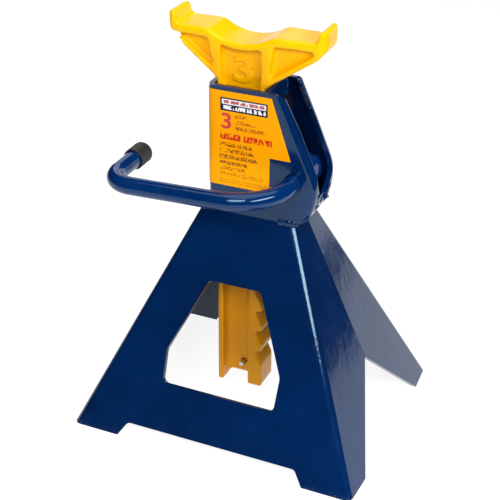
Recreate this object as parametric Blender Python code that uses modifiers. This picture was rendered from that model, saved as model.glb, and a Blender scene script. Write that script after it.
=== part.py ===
"""Ratchet jack stand, 3 tonne class, modelled as separate pieces in metres with +Z up.

Two folded steel halves make a pyramid foot and a narrow tower. A cast column with an axle
saddle slides up and down in the tower. A bent rod lever turns a pawl that holds the column
by its teeth. The origin is on the ground under the middle of the feet. +X is the side where
the pawl sits in its slot, and -Y is the side that carries the label.
"""

import math

import bmesh
import bpy
from mathutils import Matrix, Vector

MM = 0.001

# Clearances between pieces
SEAM_GAP = 0.3 * MM
TOUCH_GAP = 0.3 * MM
LABEL_GAP = 0.15 * MM
PIVOT_PLAY = 0.4 * MM
COLUMN_PLAY = 0.7 * MM
PAWL_PLAY = 0.4 * MM

# Folded sheet frame
SHEET = 3.4 * MM
BASE_HALF_WIDTH = 104.0 * MM
BASE_HALF_DEPTH = 84.0 * MM
BEND_HEIGHT = 157.0 * MM
TOWER_HEIGHT = 88.0 * MM
TOWER_HALF_DEPTH = 19.0 * MM
SHOULDER_HALF_WIDTH = 33.8 * MM
FOLD_RADIUS = 5.0 * MM
WAIST_RADIUS = 7.0 * MM
FLANGE_SPLAY = math.radians(2.8)
APEX_HEIGHT = 56.0 * MM
FOOT_FLANGE = 26.4 * MM
FOOT_WIDTH = 35.0 * MM
FOOT_RAISE = 9.9 * MM
FOOT_STEP = 6.7 * MM
FOOT_RADIUS = 4.0 * MM
PLATE_SHARE = 24.0 * MM

# Window in each sloped face, as half widths and heights
WINDOW_TOP_HALF = 18.7 * MM
WINDOW_TOP_DROP = 44.3 * MM
WINDOW_KNEE_HALF = 41.7 * MM
WINDOW_KNEE_HEIGHT = 63.2 * MM
WINDOW_SILL_HALF = 41.0 * MM
WINDOW_SILL_HEIGHT = 41.6 * MM
WINDOW_RADIUS = 4.0 * MM
KNEE_RADIUS = 10.0 * MM

# Cheek, the wide side of the tower that holds the pawl
CHEEK_TOP_WIDTH = 11.8 * MM
CHEEK_BACKING = 15.2 * MM
CHEEK_ROUND_DROP = 2.7 * MM
CHEEK_UPPER_RADIUS = 30.0 * MM
CHEEK_LOWER_RADIUS = 60.0 * MM
CHEEK_CORNER_DROP = 5.0 * MM
SLOT_HALF_WIDTH = 13.4 * MM
SLOT_ROUND_DROP = 1.0 * MM
SLOT_FOOT_RISE = 10.5 * MM
SLOT_FULLNESS = 0.6
CHEEK_HEM_DROP = 1.5 * MM
CHEEK_HEM_SLOPE = math.radians(40.0)

# Toothed column
COLUMN_HALF_WIDTH = 16.3 * MM
COLUMN_CENTRE = -8.0 * MM
COLUMN_FOOT = 16.0 * MM
BACK_FLANGE = 3.9 * MM
BACK_FLANGE_HALF_DEPTH = 12.5 * MM
RACK_FLANGE = 10.5 * MM
RACK_HALF_DEPTH = 10.8 * MM
WEB_HALF_DEPTH = 3.5 * MM
WEB_FILLET = 4.0 * MM
WEB_ARCH = 5.0 * MM
TOOTH_PITCH = 16.5 * MM
TOOTH_DEPTH = 5.4 * MM
TOOTH_LAND = 4.9 * MM
NOTCHES_ABOVE = 1
RACK_START = 12.0 * MM
STOP_PIN_RADIUS = 1.8 * MM
STOP_PIN_RISE = 13.5 * MM
STOP_PIN_HALF_LENGTH = 8.0 * MM

# Saddle, cast in one with the column
SADDLE_LEFT_REACH = 51.2 * MM
SADDLE_RIGHT_REACH = 56.4 * MM
SADDLE_HALF_DEPTH = 14.2 * MM
SADDLE_END_HALF_DEPTH = 12.4 * MM
SADDLE_TAPER_START = 20.0 * MM
SADDLE_CORNER = 6.0 * MM
SADDLE_RISE = 34.3 * MM
SADDLE_EDGE = 1.2 * MM
SADDLE_ROUND = 2.0 * MM
HORN_HEIGHT = 7.6 * MM
HORN_THICKNESS = 5.2 * MM
HORN_FLARE = 1.6 * MM
TIP_ROUND = 3.0 * MM
DIP_DEPTH = 6.9 * MM
DIP_RADIUS = 38.0 * MM
DIP_SHOULDER = 10.0 * MM
RIM = 4.5 * MM
NECK_SINK = 4.0 * MM
NECK_RISE = 2.0 * MM
NECK_FLARE = 1.6 * MM
NECK_ROUND = 0.6 * MM
UNDERSIDE_RIB = 4.6 * MM
UPRIGHT_RIB = 6.6 * MM
RIB_SPREAD = 5.5 * MM
END_RIB = 1.2 * MM
LEFT_RIB_RISE = 1.7 * MM
POCKET_BREAKS_OUT = 3.4 * MM
POCKET_FLOOR = 8.4 * MM
POCKET_ROUND = 1.5 * MM
CENTRE_POCKET_SHARE = 0.62
LEFT_TIP_DROP = 12.3 * MM
RIGHT_TIP_DROP = 11.3 * MM
LEFT_TIP_INSET = 10.3 * MM
RIGHT_TIP_INSET = 5.8 * MM

# Lever and pawl
PAWL_ARM = 23.7 * MM
PAWL_RISE = 23.7 * MM
PAWL_DROP = 4.6 * MM
PIVOT_RISE = 30.0 * MM
ROD_RADIUS = 6.0 * MM
LEVER_REACH = 115.0 * MM
LEVER_FRONT = 58.0 * MM
LEVER_RIGHT_BEND = 34.0 * MM
LEVER_LEFT_BEND = 18.0 * MM
LEVER_DROOP = math.radians(2.4)
ROD_PAST_CHEEK = 9.5 * MM
HANDLE_END = 5.0 * MM
PAWL_HALF_WIDTH = 8.0 * MM
PAWL_WALL = 3.6 * MM
PAWL_NOSE = 1.2 * MM
PAWL_LIFT = math.radians(9.0)

# Cap on the lever's free end
CAP_WALL = 1.1 * MM
CAP_LENGTH = 15.6 * MM
CAP_END = 2.6 * MM

# Parts that keep the rod in place, behind the rear cheek
WASHER_RIM = 5.0 * MM
WASHER_THICKNESS = 1.6 * MM
SPLIT_PIN_WIRE = 0.75 * MM
SPLIT_PIN_HOLE = 2.0 * MM
SPLIT_PIN_EYE = 2.6 * MM
SPLIT_PIN_STRAIGHT = 2.5 * MM
SPLIT_PIN_TOE = 3.9 * MM
SPLIT_PIN_SPREAD = 2.2 * MM

# Guide plates between the halves, behind the teeth
GUIDE_THICKNESS = 3.2 * MM
UPPER_GUIDE_HEIGHT = 12.0 * MM
LOWER_GUIDE_HEIGHT = 15.0 * MM
UPPER_GUIDE_DROP = 0.8 * MM
LOWER_GUIDE_RISE = 4.0 * MM

# Label on the front face
LABEL_THICKNESS = 0.25 * MM
LABEL_TOP_DROP = 2.6 * MM
LABEL_STEP_DROP = 43.4 * MM
LABEL_FOOT_RISE = 19.5 * MM
LABEL_LOWER_INSET = 31.4 * MM
LABEL_TOP_INSET = 7.5 * MM
LABEL_STEP_INSET = 12.2 * MM

# Heights that follow the tower
TOWER_TOP = BEND_HEIGHT + TOWER_HEIGHT
SLOT_CLOSES_AT = BEND_HEIGHT + SLOT_FOOT_RISE
SADDLE_LAND = TOWER_TOP + SADDLE_RISE
NECK_FOOT = TOWER_TOP - NECK_SINK
NECK_HEIGHT = TOWER_TOP + NECK_RISE

# Faces of the column and of what runs beside it
COLUMN_LEFT = COLUMN_CENTRE - COLUMN_HALF_WIDTH
COLUMN_RIGHT = COLUMN_CENTRE + COLUMN_HALF_WIDTH
TOWER_LEFT = COLUMN_LEFT - COLUMN_PLAY - SHEET
GUIDE_FACE = COLUMN_RIGHT + COLUMN_PLAY
INNER_HALF_DEPTH = TOWER_HALF_DEPTH - SHEET - TOUCH_GAP
SADDLE_LEFT = COLUMN_CENTRE - SADDLE_LEFT_REACH
SADDLE_RIGHT = COLUMN_CENTRE + SADDLE_RIGHT_REACH
LEFT_TIP = SADDLE_LEFT + LEFT_TIP_INSET
RIGHT_TIP = SADDLE_RIGHT - RIGHT_TIP_INSET

# Pivot, and the notch that the pawl holds
PIVOT = Vector((COLUMN_RIGHT + PAWL_ARM, 0.0, BEND_HEIGHT + PIVOT_RISE))
SLOT_NARROWS_AT = PIVOT.z - SLOT_ROUND_DROP
ROD_REAR_END = TOWER_HALF_DEPTH + ROD_PAST_CHEEK
PAWL_HUB_RADIUS = ROD_RADIUS + PAWL_WALL
HELD_NOTCH = PIVOT.z + PAWL_RISE
TOOTH_ROOT = COLUMN_RIGHT - TOOTH_DEPTH
TOOTH_DROP = TOOTH_PITCH - TOOTH_LAND
NOTCHES_BELOW = int((HELD_NOTCH - TOOTH_DROP - COLUMN_FOOT - RACK_START) / TOOTH_PITCH)

# Outline of the cheek: a leaning straight that runs into a round beside the pivot
CHEEK_TOP = GUIDE_FACE + GUIDE_THICKNESS + CHEEK_TOP_WIDTH
CHEEK_OUT = PIVOT.x + CHEEK_BACKING
CHEEK_ROUND = Vector((CHEEK_OUT - CHEEK_UPPER_RADIUS, PIVOT.z - CHEEK_ROUND_DROP))
CHEEK_RUN = Vector((CHEEK_TOP, TOWER_TOP)) - CHEEK_ROUND
CHEEK_LEAN = math.asin(CHEEK_UPPER_RADIUS / CHEEK_RUN.length) - math.atan2(CHEEK_RUN.x, CHEEK_RUN.y)

# Waist bend between the tower and the sloped face
SLOPE = math.atan2(BASE_HALF_DEPTH - TOWER_HALF_DEPTH, BEND_HEIGHT)
WAIST_TANGENT = WAIST_RADIUS * math.tan(SLOPE / 2.0)
WAIST_TOP = BEND_HEIGHT + WAIST_TANGENT
WAIST_FOOT = BEND_HEIGHT - WAIST_TANGENT * math.cos(SLOPE)

# Smoothness of rounds, and how far a cutting tool runs past what it cuts
ROUND_STEPS = 48
SMALL_ROUND_STEPS = 24
FOLD_STEPS = 5
WELD_DISTANCE = 0.01 * MM
PAST = 4.0 * MM

ALONG_Y = Matrix.Rotation(math.radians(90.0), 4, "X")
ALONG_X = Matrix(((0, 0, 1, 0), (1, 0, 0, 0), (0, 1, 0, 0), (0, 0, 0, 1)))


def clear_scene():
    for item in list(bpy.data.objects):
        bpy.data.objects.remove(item, do_unlink=True)


def new_collection(name):
    collection = bpy.data.collections.new(name)
    bpy.context.scene.collection.children.link(collection)
    return collection


def make_material(name, colour, roughness, metallic=0.0):
    material = bpy.data.materials.new(name)
    material.use_nodes = True
    shader = material.node_tree.nodes["Principled BSDF"]
    shader.inputs["Base Color"].default_value = (*colour, 1.0)
    shader.inputs["Roughness"].default_value = roughness
    shader.inputs["Metallic"].default_value = metallic
    return material


def link(name, mesh, collection, material=None):
    item = bpy.data.objects.new(name, mesh)
    collection.objects.link(item)
    if material:
        mesh.materials.append(material)
    return item


def arc(centre, radius, start, end, steps):
    """Points on an arc about centre, from start to end in degrees."""
    angles = [math.radians(start + (end - start) * i / steps) for i in range(steps + 1)]
    return [(centre[0] + radius * math.cos(a), centre[1] + radius * math.sin(a)) for a in angles]


def rounded(corners, steps=5):
    """A closed outline from (x, y, radius) corners, each turned into an arc of that radius."""
    points = []
    for i, (x, y, radius) in enumerate(corners):
        here = Vector((x, y))
        back = (Vector(corners[i - 1][:2]) - here).normalized()
        ahead = (Vector(corners[(i + 1) % len(corners)][:2]) - here).normalized()
        if radius == 0.0:
            points.append((x, y))
            continue
        half = back.angle(ahead) / 2.0
        reach = radius / math.tan(half)
        centre = here + (back + ahead).normalized() * (radius / math.sin(half))
        first = here + back * reach - centre
        turn = first.angle_signed(here + ahead * reach - centre)
        for k in range(steps + 1):
            spoke = first.copy()
            spoke.rotate(Matrix.Rotation(-turn * k / steps, 2))
            points.append(tuple(centre + spoke))
    return points


def curve_to_mesh(curve):
    """A curve's filled shape as a welded mesh."""
    holder = bpy.data.objects.new("holder", curve)
    bpy.context.scene.collection.objects.link(holder)
    evaluated = holder.evaluated_get(bpy.context.evaluated_depsgraph_get())
    mesh = bpy.data.meshes.new_from_object(evaluated)
    shell = bmesh.new()
    shell.from_mesh(mesh)
    bmesh.ops.remove_doubles(shell, verts=shell.verts, dist=WELD_DISTANCE)
    shell.to_mesh(mesh)
    shell.free()
    bpy.data.objects.remove(holder, do_unlink=True)
    bpy.data.curves.remove(curve)
    return mesh


def slab(points, thickness, turn=None, soft=0.0):
    """A flat XY outline with a thickness along Z about its own plane and soft rims, then turned."""
    curve = bpy.data.curves.new("outline", "CURVE")
    curve.dimensions = "2D"
    curve.fill_mode = "BOTH"
    curve.extrude = thickness / 2.0 - soft
    curve.bevel_depth = soft
    curve.bevel_resolution = 2
    curve.offset = -soft
    spline = curve.splines.new("POLY")
    spline.points.add(len(points) - 1)
    for point, (x, y) in zip(spline.points, points):
        point.co = (x, y, 0.0, 1.0)
    spline.use_cyclic_u = True
    mesh = curve_to_mesh(curve)
    if turn:
        mesh.transform(turn)
    return mesh


def tube(points, radius, resolution, turn=None):
    """A round wire along points, with filled ends."""
    curve = bpy.data.curves.new("wire", "CURVE")
    curve.dimensions = "3D"
    curve.bevel_depth = radius
    curve.bevel_resolution = resolution
    curve.use_fill_caps = True
    spline = curve.splines.new("POLY")
    spline.points.add(len(points) - 1)
    for point, place in zip(spline.points, points):
        point.co = (*place, 1.0)
    mesh = curve_to_mesh(curve)
    if turn:
        mesh.transform(turn)
    return mesh


def block(low, high):
    """A box between two opposite corners."""
    shell = bmesh.new()
    bmesh.ops.create_cube(shell, size=1.0)
    mesh = bpy.data.meshes.new("block")
    size = Vector(high) - Vector(low)
    bmesh.ops.scale(shell, vec=size, verts=shell.verts)
    bmesh.ops.translate(shell, vec=Vector(low) + size / 2.0, verts=shell.verts)
    shell.to_mesh(mesh)
    shell.free()
    return mesh


def drum(radius, length, turn, steps=ROUND_STEPS):
    """A cylinder about its own Z axis, then turned and placed."""
    shell = bmesh.new()
    bmesh.ops.create_cone(
        shell, cap_ends=True, segments=steps, radius1=radius, radius2=radius, depth=length
    )
    mesh = bpy.data.meshes.new("drum")
    shell.to_mesh(mesh)
    shell.free()
    mesh.transform(turn)
    return mesh


def shade_round(item, angle=32.0):
    item.data.shade_smooth()
    item.data.set_sharp_from_angle(angle=math.radians(angle))


def combine(item, tool, operation, tools):
    """Add or cut a tool mesh with a live Boolean modifier."""
    helper = link(f"{item.name}_{operation.lower()}_{len(item.modifiers)}", tool, tools)
    helper.hide_render = True
    helper.display_type = "WIRE"
    step = item.modifiers.new(helper.name, "BOOLEAN")
    step.operation = operation
    step.solver = "EXACT"
    step.object = helper


def cheek_edge(height):
    """Outer X of the cheek: a leaning straight, then a round that turns back under the pawl."""
    middle = CHEEK_ROUND.y
    if height >= middle + CHEEK_UPPER_RADIUS * math.sin(CHEEK_LEAN):
        return CHEEK_TOP + (TOWER_TOP - height) * math.tan(CHEEK_LEAN)
    radius = CHEEK_UPPER_RADIUS if height > middle else CHEEK_LOWER_RADIUS
    return CHEEK_OUT - radius + math.sqrt(radius**2 - (height - middle) ** 2)


def slot_edge(height):
    """Half width of the opening between the cheeks, and past the middle where they meet."""
    if height >= SLOT_NARROWS_AT:
        return SLOT_HALF_WIDTH
    left = (height - SLOT_CLOSES_AT) / (SLOT_NARROWS_AT - SLOT_CLOSES_AT)
    return SLOT_HALF_WIDTH * left**SLOT_FULLNESS if left > 0.0 else -PAST


def face_depth(height):
    """Distance of the sloped face from the middle plane."""
    return TOWER_HALF_DEPTH + (BEND_HEIGHT - height) * math.tan(SLOPE)


def face_half_width(height):
    run = (BEND_HEIGHT - height) / BEND_HEIGHT
    return SHOULDER_HALF_WIDTH + (BASE_HALF_WIDTH - SHOULDER_HALF_WIDTH) * run


def mirrored(mesh, side):
    """The same mesh on the front side, or reflected to the rear."""
    if side > 0:
        mesh.transform(Matrix.Scale(-1.0, 4, (0.0, 1.0, 0.0)))
        mesh.flip_normals()
    return mesh


def tower_section(height):
    """Outer line of the tower half at one height, from the back seam round to the slot."""
    inner = TOWER_HALF_DEPTH - FOLD_RADIUS
    right = cheek_edge(height)
    rise = (height - WAIST_TOP) / (TOWER_TOP - WAIST_TOP)
    line = [(TOWER_LEFT, PAST)]
    line += arc((TOWER_LEFT + FOLD_RADIUS, -inner), FOLD_RADIUS, 180.0, 270.0, FOLD_STEPS)
    line.append((PLATE_SHARE - rise * 2.0 * FOLD_RADIUS, -TOWER_HALF_DEPTH))
    line += arc((right - FOLD_RADIUS, -inner), FOLD_RADIUS, 270.0, 360.0, FOLD_STEPS)
    line.append((right, -slot_edge(height)))
    corner = CHEEK_CORNER_DROP if height == TOWER_TOP else 0.0
    folded = FOLD_STEPS + 2
    level = len(line) - folded - 1
    drops = [corner * (max(k - level, 0) / folded) ** 2 for k in range(len(line))]
    return [(x, y, height - drop) for (x, y), drop in zip(line, drops)]


def waist_section(share):
    """The short line that runs round the waist bend where tower and face are one sheet."""
    angle = SLOPE * share
    y = -TOWER_HALF_DEPTH - WAIST_RADIUS * (1.0 - math.cos(angle))
    z = WAIST_TOP - WAIST_RADIUS * math.sin(angle)
    return [(TOWER_LEFT + FOLD_RADIUS, y, z), (PLATE_SHARE, y, z)]


def foot_section(height):
    """Outer line of the pyramid half at one height, from seam to seam."""
    depth = face_depth(height)
    width = face_half_width(height)
    inner = depth - FOLD_RADIUS
    seam = width + (inner + PAST) * math.tan(FLANGE_SPLAY)
    widening = width / face_half_width(WAIST_FOOT)
    right = arc((width - FOLD_RADIUS, -inner), FOLD_RADIUS, 270.0, 360.0, FOLD_STEPS)
    line = [(-seam, PAST)] + [(-x, y) for x, y in reversed(right)]
    line += [((TOWER_LEFT + FOLD_RADIUS) * widening, -depth), (PLATE_SHARE * widening, -depth)]
    line += right + [(seam, PAST)]
    return [(x, y, height) for x, y in line]


def skin(shell, rows):
    """Join rows of points, top row first, into faces that look away from the middle plane."""
    grid = [[shell.verts.new(point) for point in row] for row in rows]
    for upper, lower in zip(grid, grid[1:]):
        for k in range(len(upper) - 1):
            shell.faces.new((upper[k], lower[k], lower[k + 1], upper[k + 1]))


def window_cutter(side):
    """A prism square to the sloped face, with the outline of its window."""
    half = [
        (WINDOW_SILL_HALF, WINDOW_SILL_HEIGHT, WINDOW_RADIUS),
        (WINDOW_KNEE_HALF, WINDOW_KNEE_HEIGHT, KNEE_RADIUS),
        (WINDOW_TOP_HALF, BEND_HEIGHT - WINDOW_TOP_DROP, WINDOW_RADIUS),
    ]
    corners = half + [(-x, z, radius) for x, z, radius in reversed(half)]
    on_face = [(x, z / math.cos(SLOPE), radius) for x, z, radius in corners]
    tilt = Matrix.Rotation(math.radians(90.0) - SLOPE, 4, "X")
    place = Matrix.Translation((0.0, -BASE_HALF_DEPTH, 0.0))
    return mirrored(slab(rounded(on_face), 6.0 * SHEET, place @ tilt), side)


def hem_cutter():
    """A wedge that lifts the lower edge of the cheek clear of the shoulder."""
    foot = BEND_HEIGHT - CHEEK_HEM_DROP
    reach = CHEEK_OUT + PAST - SHOULDER_HALF_WIDTH
    wedge = [
        (SHOULDER_HALF_WIDTH, foot),
        (SHOULDER_HALF_WIDTH + reach, foot),
        (SHOULDER_HALF_WIDTH + reach, foot + reach * math.tan(CHEEK_HEM_SLOPE)),
    ]
    return slab(wedge, 3.0 * BASE_HALF_DEPTH, ALONG_Y)


def build_frame_half(side, material, parts, tools):
    """One folded half with its tower, waist bend and pyramid. Side -1 is the front, 1 the rear."""
    shell = bmesh.new()
    straight_foot = SLOT_NARROWS_AT + 2.0 * FOLD_RADIUS
    heights = [TOWER_TOP, (TOWER_TOP + straight_foot) / 2.0]
    heights += [straight_foot + (WAIST_TOP - straight_foot) * k / 16.0 for k in range(17)]
    skin(shell, [tower_section(height) for height in heights])
    skin(shell, [waist_section(k / 4.0) for k in range(5)])
    skin(shell, [foot_section(height) for height in (WAIST_FOOT, BEND_HEIGHT / 2.0, -2.0 * PAST)])
    bmesh.ops.remove_doubles(shell, verts=shell.verts, dist=2.0 * WELD_DISTANCE)
    mesh = bpy.data.meshes.new("frame_half")
    shell.to_mesh(mesh)
    shell.free()
    name = "front_frame_half" if side < 0 else "rear_frame_half"
    half = link(name, mirrored(mesh, side), parts, material)
    wall = half.modifiers.new("sheet", "SOLIDIFY")
    wall.thickness = SHEET
    wall.offset = -1.0
    wall.use_even_offset = True

    wide = BASE_HALF_WIDTH * 1.5
    deep = BASE_HALF_DEPTH * 1.5
    near, far = sorted((-side * deep, side * SEAM_GAP / 2.0))
    combine(half, block((-wide, near, -3.0 * PAST), (wide, far, TOWER_TOP * 1.1)), "DIFFERENCE", tools)
    combine(half, block((-wide, -deep, -6.0 * PAST), (wide, deep, 0.0)), "DIFFERENCE", tools)
    heel = BASE_HALF_DEPTH - FOOT_FLANGE
    sunk = -2.0 * PAST
    reach = heel * (APEX_HEIGHT - sunk) / APEX_HEIGHT
    gable = [(-reach, sunk), (reach, sunk), (0.0, APEX_HEIGHT)]
    combine(half, slab(gable, 2.0 * wide, ALONG_X), "DIFFERENCE", tools)
    foot = BASE_HALF_WIDTH - FOOT_WIDTH
    arch = [(-foot - FOOT_STEP, -FOOT_RAISE, 0.0), (foot + FOOT_STEP, -FOOT_RAISE, 0.0)]
    arch += [(foot - FOOT_STEP, FOOT_RAISE, FOOT_RADIUS), (FOOT_STEP - foot, FOOT_RAISE, FOOT_RADIUS)]
    combine(half, slab(rounded(arch), 2.0 * deep, ALONG_Y), "DIFFERENCE", tools)
    combine(half, window_cutter(side), "DIFFERENCE", tools)
    combine(half, hem_cutter(), "DIFFERENCE", tools)
    bore = Matrix.Translation(PIVOT) @ ALONG_Y
    combine(half, drum(ROD_RADIUS + PIVOT_PLAY, 4.0 * TOWER_HALF_DEPTH, bore), "DIFFERENCE", tools)
    return half


def column_section():
    """The H section of the column: plain flange on the left, web, thick rack flange on the right."""
    back_inner = COLUMN_LEFT + BACK_FLANGE
    rack_inner = COLUMN_RIGHT - RACK_FLANGE
    edge = BACK_FLANGE / 5.0
    lower = [
        (COLUMN_LEFT, -BACK_FLANGE_HALF_DEPTH, edge),
        (back_inner, -BACK_FLANGE_HALF_DEPTH, edge),
        (back_inner, -WEB_HALF_DEPTH, WEB_FILLET),
        (rack_inner, -WEB_HALF_DEPTH, WEB_FILLET),
        (rack_inner, -RACK_HALF_DEPTH, edge),
        (COLUMN_RIGHT, -RACK_HALF_DEPTH, edge),
    ]
    return rounded(lower + [(x, -y, radius) for x, y, radius in reversed(lower)], 3)


def notch_outline(top):
    """One tooth gap: flat under the tooth above, sloping out to the tip of the tooth below."""
    corners = [
        (TOOTH_ROOT, top, TOOTH_DEPTH / 8.0),
        (COLUMN_RIGHT, top - TOOTH_DROP, 0.0),
        (COLUMN_RIGHT + PAST, top - TOOTH_DROP, 0.0),
        (COLUMN_RIGHT + PAST, top, 0.0),
    ]
    return rounded(corners, 3)


def rack_cutter():
    """All the tooth gaps as one tool."""
    shell = bmesh.new()
    for k in range(-NOTCHES_BELOW, NOTCHES_ABOVE + 1):
        top = HELD_NOTCH + k * TOOTH_PITCH
        gap = slab(notch_outline(top), 3.0 * RACK_HALF_DEPTH, ALONG_Y)
        shell.from_mesh(gap)
        bpy.data.meshes.remove(gap)
    mesh = bpy.data.meshes.new("rack_cutter")
    shell.to_mesh(mesh)
    shell.free()
    return mesh


def dip_line(radius_change=0.0, from_share=-1.0, to_share=1.0, steps=14):
    """The axle dip from left to right, or a line that follows it at a distance below."""
    sink = SADDLE_LAND - DIP_DEPTH + DIP_RADIUS
    span = math.degrees(math.acos(1.0 - DIP_DEPTH / (DIP_RADIUS + DIP_SHOULDER)))
    return arc(
        (COLUMN_CENTRE, sink),
        DIP_RADIUS + radius_change,
        270.0 + from_share * span,
        270.0 + to_share * span,
        steps,
    )


def shoulder_line(side):
    """The rounded shoulder from the flat land down into the dip."""
    span = math.acos(1.0 - DIP_DEPTH / (DIP_RADIUS + DIP_SHOULDER))
    run = (DIP_RADIUS + DIP_SHOULDER) * math.sin(span)
    centre = (COLUMN_CENTRE + side * run, SADDLE_LAND - DIP_SHOULDER)
    turn = 90.0 + side * math.degrees(span)
    return arc(centre, DIP_SHOULDER, 90.0, turn, 5)


def saddle_outline():
    """Front view of the saddle: horns, lands, dip, sloping undersides and neck."""
    horn_top = SADDLE_LAND + HORN_HEIGHT
    lip = HORN_THICKNESS / 2.2
    right_inner = SADDLE_RIGHT - HORN_THICKNESS
    left_inner = SADDLE_LEFT + HORN_THICKNESS
    left_foot = COLUMN_LEFT - NECK_FLARE
    start = [
        (COLUMN_LEFT, NECK_FOOT, 0.0),
        (COLUMN_RIGHT, NECK_FOOT, 0.0),
        (COLUMN_RIGHT, TOWER_TOP, NECK_ROUND),
        (COLUMN_RIGHT + NECK_FLARE, TOWER_TOP + NECK_RISE / 2.0, NECK_ROUND),
        (RIGHT_TIP, SADDLE_LAND - RIGHT_TIP_DROP, TIP_ROUND),
        (SADDLE_RIGHT, SADDLE_LAND - RIM, TIP_ROUND),
        (SADDLE_RIGHT, horn_top, lip),
        (right_inner, horn_top, lip),
        (right_inner - HORN_FLARE, SADDLE_LAND, SADDLE_ROUND),
    ]
    end = [
        (left_inner + HORN_FLARE, SADDLE_LAND, SADDLE_ROUND),
        (left_inner, horn_top, lip),
        (SADDLE_LEFT, horn_top, lip),
        (SADDLE_LEFT, SADDLE_LAND - RIM + SADDLE_EDGE, SADDLE_ROUND),
        (LEFT_TIP - SADDLE_ROUND, SADDLE_LAND - LEFT_TIP_DROP + TIP_ROUND, SADDLE_ROUND),
        (LEFT_TIP + SADDLE_EDGE, SADDLE_LAND - LEFT_TIP_DROP - SADDLE_EDGE, SADDLE_ROUND),
        (left_foot, NECK_HEIGHT + NECK_FLARE, NECK_ROUND),
        (COLUMN_LEFT, NECK_HEIGHT, NECK_ROUND),
    ]
    dip = shoulder_line(1) + dip_line()[::-1][1:-1] + shoulder_line(-1)[::-1]
    return rounded(start + [(x, z, 0.0) for x, z in dip] + end, 4)


def pocket_cutters():
    """Tools for the three pockets in each long side of the saddle."""
    top = SADDLE_LAND - RIM
    left_rib = COLUMN_LEFT - UPRIGHT_RIB / 2.0
    right_rib = COLUMN_RIGHT + UPRIGHT_RIB / 2.0
    spread = RIB_SPREAD / 2.0
    floor = NECK_HEIGHT + UNDERSIDE_RIB
    soft = POCKET_ROUND
    left = [
        (SADDLE_LEFT - PAST, top - END_RIB, 0.0),
        (SADDLE_LEFT - PAST, SADDLE_LAND - LEFT_TIP_DROP + POCKET_BREAKS_OUT, 0.0),
        (LEFT_TIP, SADDLE_LAND - LEFT_TIP_DROP + POCKET_BREAKS_OUT, soft),
        (left_rib + END_RIB / 2.0, floor + LEFT_RIB_RISE, soft),
        (left_rib - spread, top - END_RIB, soft),
    ]
    right = [
        (right_rib + spread, top - END_RIB, soft),
        (right_rib - END_RIB / 2.0, floor, soft),
        (RIGHT_TIP - POCKET_BREAKS_OUT, SADDLE_LAND - RIGHT_TIP_DROP + 2.0 * END_RIB, soft),
        (RIGHT_TIP + END_RIB, top - END_RIB, soft),
    ]
    share = CENTRE_POCKET_SHARE
    centre = [(x, z, 0.0) for x, z in dip_line(RIM, -share, share, 8)]
    centre.append((COLUMN_RIGHT - UPRIGHT_RIB / 2.0, NECK_FOOT - PAST, 0.0))
    centre.append((COLUMN_LEFT + UPRIGHT_RIB / 2.0, NECK_FOOT - PAST, 0.0))
    deep = 2.0 * SADDLE_HALF_DEPTH
    shell = bmesh.new()
    for corners in (left, right, centre):
        for side in (-1.0, 1.0):
            place = Matrix.Translation((0.0, side * (POCKET_FLOOR + deep / 2.0), 0.0))
            pocket = slab(rounded(corners, 4), deep, place @ ALONG_Y)
            shell.from_mesh(pocket)
            bpy.data.meshes.remove(pocket)
    mesh = bpy.data.meshes.new("pockets")
    shell.to_mesh(mesh)
    shell.free()
    return mesh


def end_cutter(end):
    """Tools that narrow one end of the saddle in plan and round its upright corners."""
    reach = SADDLE_RIGHT_REACH if end > 0 else SADDLE_LEFT_REACH
    start = SADDLE_TAPER_START
    half = SADDLE_END_HALF_DEPTH
    outside = SADDLE_HALF_DEPTH + PAST
    corner = [
        (start, -SADDLE_HALF_DEPTH, 0.0),
        (reach, -half, SADDLE_CORNER),
        (reach + TOUCH_GAP, SADDLE_CORNER - half + TOUCH_GAP, 0.0),
        (reach + PAST, SADDLE_CORNER - half + TOUCH_GAP, 0.0),
        (reach + PAST, -outside, 0.0),
        (start, -outside, 0.0),
    ]
    shell = bmesh.new()
    for side in (-1.0, 1.0):
        line = [(COLUMN_CENTRE + end * x, side * y) for x, y in rounded(corner, 6)]
        if end * side < 0.0:
            line.reverse()
        lift = Matrix.Translation((0.0, 0.0, SADDLE_LAND))
        tool = slab(line, 4.0 * SADDLE_RISE, lift)
        shell.from_mesh(tool)
        bpy.data.meshes.remove(tool)
    mesh = bpy.data.meshes.new("saddle_end")
    shell.to_mesh(mesh)
    shell.free()
    return mesh


def draft_cutter(side):
    """A wedge that narrows the saddle from its rim down to the column."""
    wide = 2.0 * (SADDLE_RIGHT - SADDLE_LEFT)
    top = SADDLE_LAND - RIM - SADDLE_EDGE
    outside = SADDLE_HALF_DEPTH * 1.5
    wedge = [
        (-SADDLE_HALF_DEPTH, top),
        (-outside, top),
        (-outside, NECK_FOOT - PAST),
        (-BACK_FLANGE_HALF_DEPTH, NECK_FOOT - PAST),
    ]
    return mirrored(slab(wedge, wide, ALONG_X), side)


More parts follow.
